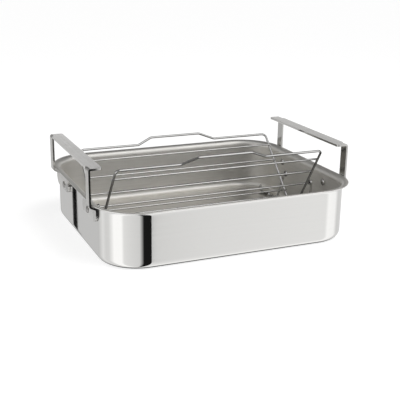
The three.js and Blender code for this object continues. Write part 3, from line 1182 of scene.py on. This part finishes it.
@dataclass
class RackBase:
    """What the rack stands on: the hinge rod and the two notched wire feet."""

    rod: Vector
    rod_diameter: float = 4.0
    rod_overhang: float = 0.5
    foot_x: float = 172.0
    foot_wire: float = 3.5
    foot_z: float = 4.05
    foot_half: float = 123.0
    turn_up: float = 11.0
    turn_up_bend: float = 6.0
    first_notch: float = 36.9
    notch_pitch: float = 16.2
    notch_count: int = 4
    notch_wave: float = 14.0
    notch_height: float = 3.6
    rod_wave: float = 24.0
    rod_rise: float = 0.7
    weld_size: Vector = vector_field(2.1, 2.1, 0.9)

    def notch(self, index: int) -> float:
        """How far a notch is from the rod, counted from 0."""
        return self.first_notch + index * self.notch_pitch

    def _rises(self) -> list[tuple[float, float, float]]:
        """Lists the rises of a foot along Y: one after each notch, and the low one under the rod.

        Returns:
            The middle of each rise from the rod, its length and its height.
        """
        middles = [self.notch(index) + self.notch_pitch / 2 for index in range(self.notch_count)]
        far = [(middle, self.notch_wave, self.notch_height) for middle in middles]
        near = [(-middle, length, height) for middle, length, height in reversed(far)]
        return [*near, (0, self.rod_wave, self.rod_rise), *far]

    def _foot(self, end: End) -> None:
        """Bends one foot, with its two ends turned up.

        Args:
            end: The end of the rack that it carries.
        """
        x, y = end.value * self.foot_x, self.rod.y
        start = Vector((x, y - self.foot_half, self.foot_z + self.turn_up))
        wire = Wire(self.foot_wire, start, -AXIS_Z)
        bender = wire.bender
        rises = self._rises()
        first = Vector((x, y + rises[0][0] - self.notch_wave / 2, self.foot_z))
        bender.follow([Vector((x, start.y, self.foot_z)), first], [self.turn_up_bend])
        for middle, length, height in rises:
            bender.feed(y + middle - length / 2 - bender.tip.y)
            bender.wave(length, height, AXIS_X)
        far_end = Vector((x, y + self.foot_half, self.foot_z))
        bender.follow([far_end, far_end + AXIS_Z * self.turn_up], [self.turn_up_bend])
        wire.hand_over(f"notched_foot_{label(end)}", Body.RACK, f"rack_foot_{label(end)}")

    def _rod(self) -> None:
        """Cuts the straight rod that both wings hinge on."""
        half = self.foot_x + self.foot_wire / 2 + self.rod_overhang
        wire = Wire(self.rod_diameter, self.rod - AXIS_X * half, AXIS_X)
        wire.bender.feed(2 * half)
        wire.hand_over("straight_hinge_rod", Body.RACK, "hinge_rod")

    def _welds(self) -> None:
        """Sets a weld spot where the rod rests on each foot."""
        seat_z = self.rod.z - self.rod_diameter / 2
        places = [Vector((end.value * self.foot_x, self.rod.y, seat_z)) for end in End]
        WeldSpots("rack_base_welds", Body.RACK, places, self.weld_size).build()

    def build(self) -> None:
        """Builds the feet, the rod and their welds."""
        for end in End:
            self._foot(end)
        self._rod()
        self._welds()


@dataclass
class Wing:
    """One wing of the rack: a wire frame with hinge eyes and a finger hold, and four cross wires.

    Z runs up the wing from the hinge rod, and +Y is its upper side.
    """

    side: Side
    rod: Vector
    pivot: Vector
    eye_x: float
    wire: float = 3.6
    cross_wire: float = 2.8
    length: float = 145.4
    foot_end_x: float = 167.95
    taper: float = 3.0
    eye_radius: float = 4.2
    eye_wrap: float = math.radians(250)
    eye_neck: float = 4.0
    turn_in_rise: float = 22.0
    turn_in_radius: float = 8.0
    rail_bend: float = 7.0
    lift_rise: float = 12.0
    lift_foot: float = 134.4
    lift_flat: float = 85.4
    lift_bend: float = 9.0
    first_cross: float = 35.2
    cross_pitch: float = 29.2
    cross_count: int = 4
    pivot_wire: int = 1
    pin_end: float = 180.4
    cross_offset: float = -0.7
    weld_size: Vector = vector_field(2.0, 0.9, 1.8)

    @property
    def body(self) -> Body:
        """The body of this wing."""
        return Body.NEAR_WING if self.side is Side.NEAR else Body.FAR_WING

    @property
    def lean(self) -> float:
        """How far the wing leans from upright, from where the frame has its bail's pivot.

        Returns:
            The angle in radians.
        """
        away = self.pivot - self.rod
        pivot_rise = self.cross_rise(self.pivot_wire)
        return math.atan2(abs(away.y), away.z) - math.atan2(-self.cross_offset, pivot_rise)

    @property
    def place(self) -> Matrix:
        """The wing's place: leaning over the rod, towards its own side."""
        turned = half_turn(self.side is Side.FAR)
        return Matrix.Translation(self.rod) @ turned @ Matrix.Rotation(self.lean, 4, "X")

    def cross_rise(self, index: int) -> float:
        """How far up the wing a cross wire is, counted from 0."""
        return self.first_cross + index * self.cross_pitch

    def end_wire_x(self, rise: float) -> float:
        """How far an end wire is from the middle, at a height up the wing."""
        return self.foot_end_x - self.taper * rise / self.length

    def _frame(self) -> None:
        """Bends the frame from eye to eye, over the top rail with its raised finger hold."""
        back = -self.eye_radius
        free_end = math.pi + self.eye_wrap
        start = Vector((
            -self.eye_x, self.eye_radius * math.cos(free_end), self.eye_radius * math.sin(free_end)))
        wire = Wire(self.wire, start, Vector((0, math.sin(free_end), -math.cos(free_end))))
        half = [
            (self.eye_x, self.eye_neck), (self.end_wire_x(self.turn_in_rise), self.turn_in_rise),
            (self.end_wire_x(self.length), self.length), (self.lift_foot / 2, self.length),
            (self.lift_flat / 2, self.length + self.lift_rise)]
        left = [Vector((-x, back, z)) for x, z in half]
        right = [Vector((x, back, z)) for x, z in reversed(half)]
        bends = [self.turn_in_radius, self.turn_in_radius, self.rail_bend, self.lift_bend, self.lift_bend]
        wire.bender.bend(self.eye_radius, -self.eye_wrap, AXIS_X)
        wire.bender.follow([*left, *right, Vector((self.eye_x, back, 0))], [*bends, *reversed(bends)])
        wire.bender.bend(self.eye_radius, self.eye_wrap, AXIS_X)
        name = label(self.side)
        # The frame takes the darker wire tone: painted shade.
        wire.hand_over(f"{name}_wing_rail", self.body, f"{name}_wing_frame", self.place, FRAME_WIRE)

    def _cross_wires(self) -> None:
        """Cuts the cross wires; the pivot wire runs on past the frame as the bail's pins."""
        name = label(self.side)
        for index in range(self.cross_count):
            rise = self.cross_rise(index)
            half = self.pin_end if index == self.pivot_wire else self.end_wire_x(rise) + self.wire / 2
            wire = Wire(self.cross_wire, Vector((-half, self.cross_offset, rise)), AXIS_X)
            wire.bender.feed(2 * half)
            number = index + 1
            wire.hand_over(
                f"{name}_straight_wire_{number}", self.body, f"{name}_cross_wire_{number}", self.place)

    def _welds(self) -> None:
        """Sets a weld spot where each cross wire lies on the frame."""
        seat_y = self.cross_offset - self.cross_wire / 2
        rises = [self.cross_rise(index) for index in range(self.cross_count)]
        places = [Vector((end.value * self.end_wire_x(rise), seat_y, rise)) for rise in rises for end in End]
        WeldSpots(f"{label(self.side)}_wing_welds", self.body, places, self.weld_size).build(self.place)

    def build(self) -> None:
        """Builds the frame, the cross wires and their welds."""
        self._frame()
        self._cross_wires()
        self._welds()


@dataclass
class Bail:
    """The wire prop of one wing: it hangs from the pivot wire's pins, and its foot stands in the notches."""

    wing: Wing
    notch: float
    wire: float = 3.2
    reach: float = 54.4
    leg_x: float = 177.0
    eye_radius: float = 3.4
    eye_wrap: float = math.radians(250)
    bend: float = 5.0

    @property
    def body(self) -> Body:
        """The body of this bail."""
        return Body.NEAR_BAIL if self.wing.side is Side.NEAR else Body.FAR_BAIL

    @property
    def place(self) -> Matrix:
        """The bail's place: hung from its pivot, with its foot swung out to the notch.

        Returns:
            The place, in millimetres.
        """
        hung = abs(self.wing.pivot.y - self.wing.rod.y)
        swing = math.asin((self.notch - hung) / self.reach)
        turned = half_turn(self.wing.side is Side.FAR)
        return Matrix.Translation(self.wing.pivot) @ turned @ Matrix.Rotation(-swing, 4, "X")

    def build(self) -> None:
        """Bends the bail: an eye, a leg, the long foot and the same again."""
        downwards = 1.5 * math.pi
        touch = downwards - math.acos(self.eye_radius / self.reach)
        free_end = touch - self.eye_wrap
        start, leave = (
            Vector((0, self.eye_radius * math.cos(angle), self.eye_radius * math.sin(angle)))
            for angle in (free_end, touch))
        leg = AXIS_X * self.leg_x
        drop = AXIS_Z * -self.reach
        wire = Wire(self.wire, start - leg, Vector((0, -math.sin(free_end), math.cos(free_end))))
        wire.bender.bend(self.eye_radius, self.eye_wrap, AXIS_X)
        wire.bender.follow([drop - leg, drop + leg, leave + leg], [self.bend, self.bend])
        wire.bender.bend(self.eye_radius, -self.eye_wrap, AXIS_X)
        name = label(self.wing.side)
        wire.hand_over(f"{name}_bent_bail", self.body, f"{name}_bail", self.place)


class Stance(Enum):
    """How a card is put up, as its turn about X."""

    UPRIGHT = math.pi / 2
    FLAT = 0.0


@dataclass
class Flag:
    """A black card that only shows in the metal's reflections."""

    name: str
    middle: Vector
    size: tuple[float, float]
    corner: float
    stance: Stance
    corner_steps: int = 12

    def build(self, black: Material) -> None:
        """Puts the card up.

        Args:
            black: Its material.
        """
        bm = flat_sheet(*self.size)
        if self.corner:
            bmesh.ops.bevel(
                bm, geom=bm.verts[:], offset=self.corner, segments=self.corner_steps, profile=0.5,
                affect="VERTICES", material=-1)
        turned = Matrix.Rotation(self.stance.value, 4, "X")
        where = Matrix.Scale(MM, 4) @ Matrix.Translation(self.middle) @ turned
        bmesh.ops.transform(bm, matrix=where, verts=bm.verts)
        card = set_up(self.name, bm, [black])
        card.visible_camera = False
        card.visible_diffuse = False
        card.visible_shadow = False


FLAGS = [
    Flag("left_flag", Vector((-228.6, 150, -10)), (7.5, 100), 0, Stance.UPRIGHT),
    # The flat card under the pan is a painted shadow: the rounded base mirrors it as a dark line, in place of
    # the pan's shadow on the floor.
    Flag("base_flag", Vector((0, 0, -0.2)), (381, 315), 56, Stance.FLAT),
]

# The studio's panels, as azimuths in degrees with the brightness there: 0 is in front of the pan, and 90 is
# off its right end. The low band passes into the middle one between the elevations of LOW_PANEL_TOP, and
# the middle one into the high one between those of MIDDLE_PANEL_TOP. DARK_GAP has the azimuths of the two
# edges of a gap in the low band, with the share of the light at each. The roof is a round panel about
# ROOF_MIDDLE, and ROOF_EDGE gives its edge as elevations towards that point.
LOW_PANELS = [
    (-180, 0.5), (-168, 0.62), (-164, 0.64), (-150, 0.66), (-145, 0.73), (-127, 0.96), (-114, 0.84),
    (-103, 0.87), (-92, 1.12), (-86, 1.3), (-63, 1.3), (-56, 0.98), (-47, 0.93), (-13, 0.82), (20, 0.85),
    (24, 0.93), (32, 1.0), (44, 1.0), (55, 1.25), (82, 1.2), (98, 0.81), (121, 0.78), (150, 0.7), (180, 0.5)]
MIDDLE_PANELS = [
    (-180, 0.4), (-168, 0.3), (-158, 0.3), (-150, 0.45), (-135, 0.45), (-115, 0.7), (-92, 1.35), (-60, 1.35),
    (-45, 0.4), (-25, 0.1), (-4, 0.15), (6, 1.1), (15, 1.05), (45, 1.05), (60, 0.9), (90, 0.7), (170, 0.7),
    (180, 0.5)]
HIGH_PANELS = [
    (-180, 0.1), (-165, 0.15), (-150, 0.4), (-135, 0.4), (-110, 0.2), (-95, 0.2), (-85, 0.6), (-62, 0.6),
    (-45, 0.15), (-25, 0.06), (-4, 0.15), (6, 0.9), (15, 1.1), (45, 1.1), (60, 0.7), (90, 0.3), (110, 0.08),
    (180, 0.08)]
DARK_GAP = [((-13, -2), (1, 0.015)), ((19.75, 20), (0.015, 1))]
LOW_PANEL_TOP = (-12, -4)
MIDDLE_PANEL_TOP = (15, 23)
ROOF_MIDDLE = Vector((0.29, -0.41, 0.87))
ROOF_EDGE = (60, 68)
ROOF_TONE = 1.3
FULL_TURN = 360
RAMP_MIDDLE = 0.5


@dataclass
class Studio:
    """The white studio: floor, surroundings, lamp, cards and camera."""

    camera_place: Vector = vector_field(-489.7, -1135.21, 433.24)
    camera_right: Vector = vector_field(0.91802, -0.39629, 0.01421)
    camera_up: Vector = vector_field(0.10851, 0.28552, 0.95221)
    lens: float = 73.135
    sensor: float = 36.0
    floor_size: float = 12000.0
    floor_drop: float = 0.3
    floor_tone: float = 0.4
    floor_glow: float = 0.78
    card_tone: float = 0.004
    lamp_place: Vector = vector_field(420, -560, 1300)
    lamp_size: float = 900.0
    lamp_watts: float = 9.0

    def _camera(self) -> None:
        """Sets the camera up at the photograph's viewpoint."""
        data = bpy.data.cameras.new("camera")
        data.lens = self.lens
        data.sensor_width = self.sensor
        camera = bpy.data.objects.new("camera", data)
        back = self.camera_right.cross(self.camera_up)
        turn = Matrix((self.camera_right, self.camera_up, back)).transposed().to_4x4()
        camera.matrix_world = Matrix.Translation(self.camera_place * MM) @ turn
        bpy.context.scene.collection.objects.link(camera)
        bpy.context.scene.camera = camera

    def _lamp(self) -> None:
        """Hangs one large soft lamp over the pan, which the metal doesn't mirror."""
        data = bpy.data.lights.new("soft_lamp", "AREA")
        data.size = self.lamp_size * MM
        data.energy = self.lamp_watts
        lamp = bpy.data.objects.new("soft_lamp", data)
        lamp.location = self.lamp_place * MM
        lamp.visible_glossy = False
        lamp.rotation_euler = (-self.lamp_place).to_track_quat("-Z", "Y").to_euler()
        bpy.context.scene.collection.objects.link(lamp)

    def _floor(self) -> None:
        """Lays the pale floor, which keeps the pan's soft shadow and shows white to the camera."""
        bm = flat_sheet(self.floor_size, self.floor_size)
        where = Matrix.Scale(MM, 4) @ Matrix.Translation(AXIS_Z * -self.floor_drop)
        bmesh.ops.transform(bm, matrix=where, verts=bm.verts)
        floor = set_up("floor", bm, [self._floor_paint()])
        floor.visible_glossy = False

    def _floor_paint(self) -> Material:
        """The floor's paint: it glows a little for the camera, so that it is white beside the shadow.

        Returns:
            The material.
        """
        paint, bench = blank_material("pale_floor")
        matte = bench.fill(bench.add("ShaderNodeBsdfDiffuse"), Color=(self.floor_tone,) * 3 + (1,))
        seen = bench.add("ShaderNodeLightPath").outputs["Is Camera Ray"]
        glow = bench.fill(
            bench.add("ShaderNodeEmission"), Strength=bench.math("MULTIPLY", seen, self.floor_glow))
        both = bench.add("ShaderNodeAddShader")
        bench.link(matte.outputs[0], both.inputs[0])
        bench.link(glow.outputs[0], both.inputs[1])
        bench.fill(bench.add("ShaderNodeOutputMaterial"), Surface=both.outputs[0])
        return paint

    def _surroundings(self) -> None:
        """Paints the studio round the pan: white to the camera, with panels for the metal to mirror."""
        world = bpy.data.worlds.new("studio")
        world.use_nodes = True
        bpy.context.scene.world = world
        bench = Bench(world.node_tree)
        mirrored = bench.fill(bench.add("ShaderNodeBackground"), Color=self._panels(bench))
        seen = bench.fill(bench.add("ShaderNodeBackground"), Color=(1, 1, 1, 1))
        either = bench.add("ShaderNodeMixShader")
        bench.link(bench.add("ShaderNodeLightPath").outputs["Is Camera Ray"], either.inputs["Fac"])
        bench.link(mirrored.outputs[0], either.inputs[1])
        bench.link(seen.outputs[0], either.inputs[2])
        bench.fill(bench.add("ShaderNodeOutputWorld"), Surface=either.outputs[0])

    def _panels(self, bench: Bench) -> NodeSocket:
        """Puts the three bands of panels, the dark gap and the roof together by direction.

        Args:
            bench: The world's bench.

        Returns:
            The colour's socket.
        """
        place = bench.add("ShaderNodeTexCoord").outputs["Generated"]
        way = bench.fill(bench.add("ShaderNodeSeparateXYZ"), Vector=place)
        x, y, z = way.outputs
        azimuth = bench.math("ARCTAN2", x, bench.math("MULTIPLY", y, -1.0))
        share = bench.span(azimuth, (-math.pi, math.pi))
        low, middle, high = (
            self._ramp(bench, share, panels) for panels in (LOW_PANELS, MIDDLE_PANELS, HIGH_PANELS))
        gap_sides = [
            bench.span(azimuth, (math.radians(start), math.radians(end)), tones)
            for (start, end), tones in DARK_GAP]
        low = bench.dim(low, bench.math("MAXIMUM", *gap_sides))
        sides = self._blend(bench, z, LOW_PANEL_TOP, low, middle)
        sides = self._blend(bench, z, MIDDLE_PANEL_TOP, sides, high)
        towards_roof = bench.add("ShaderNodeVectorMath", operation="DOT_PRODUCT")
        bench.link(place, towards_roof.inputs[0])
        towards_roof.inputs[1].default_value = ROOF_MIDDLE.normalized()
        roof = (ROOF_TONE,) * 3 + (1,)
        return self._blend(bench, towards_roof.outputs["Value"], ROOF_EDGE, sides, roof)

    @staticmethod
    def _blend(bench: Bench, sine: NodeSocket, edge: Span, below: Setting, above: Setting) -> NodeSocket:
        """Passes softly from one colour to another.

        Args:
            bench: The world's bench.
            sine: The socket of the sine of an elevation.
            edge: The elevations in degrees between which it passes.
            below: The colour below the edge, or its socket.
            above: The colour above the edge, or its socket.

        Returns:
            The colour's socket.
        """
        low, high = (math.sin(math.radians(elevation)) for elevation in edge)
        return bench.mix(bench.span(sine, (low, high), ease=Ease.SOFT), below, above)

    @staticmethod
    def _ramp(bench: Bench, share: NodeSocket, panels: list[tuple[float, float]]) -> NodeSocket:
        """Turns an azimuth into the brightness of the panels there.

        Args:
            bench: The world's bench.
            share: The azimuth's socket, as a share of a full turn.
            panels: Azimuths in degrees, from -180 to 180, with the brightness there.

        Returns:
            The colour's socket.
        """
        ramp = bench.fill(bench.add("ShaderNodeValToRGB"), Fac=share)
        stops = ramp.color_ramp.elements
        while len(stops) < len(panels):
            stops.new(RAMP_MIDDLE)
        for stop, (azimuth, tone) in zip(stops, panels):
            stop.position = azimuth / FULL_TURN + RAMP_MIDDLE
            stop.color = (tone, tone, tone, 1)
        return ramp.outputs["Color"]

    def _flags(self) -> None:
        """Puts up the black cards."""
        black, bench = blank_material("black_card")
        matte = bench.fill(bench.add("ShaderNodeBsdfDiffuse"), Color=(self.card_tone,) * 3 + (1,))
        bench.fill(bench.add("ShaderNodeOutputMaterial"), Surface=matte.outputs[0])
        for flag in FLAGS:
            flag.build(black)

    def build(self) -> None:
        """Builds the studio."""
        bpy.context.scene.view_settings.view_transform = "Standard"
        self._camera()
        self._lamp()
        self._floor()
        self._surroundings()
        self._flags()
        log.info("studio: floor, surroundings, lamp, %d cards and camera", len(FLAGS))


@dataclass(frozen=True)
class WingSetting:
    """What differs between the wings: where the hinge eyes are and the notch that the bail stands in."""

    side: Side
    eye_x: float
    notch: int


WING_SETTINGS = [WingSetting(Side.NEAR, 167.95, 0), WingSetting(Side.FAR, 163.85, 2)]


def main() -> None:
    """Builds the pan, its handles and rivets, the rack and the studio."""
    logging.basicConfig(level=logging.INFO, format="%(name)s %(message)s")
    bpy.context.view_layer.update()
    pan = PanBody.from_frame()
    pan.build()
    for end in End:
        handle = Handle(pan, end)
        handle.build()
        for side in Side:
            Rivet(handle, side).build()
    rod = hinge_place("near_wing_hinge")
    base = RackBase(rod)
    base.build()
    for setting in WING_SETTINGS:
        pivot = hinge_place(f"{label(setting.side)}_bail_hinge")
        wing = Wing(setting.side, rod, pivot, setting.eye_x)
        wing.build()
        Bail(wing, base.notch(setting.notch)).build()
    Studio().build()


if __name__ == "__main__":
    main()
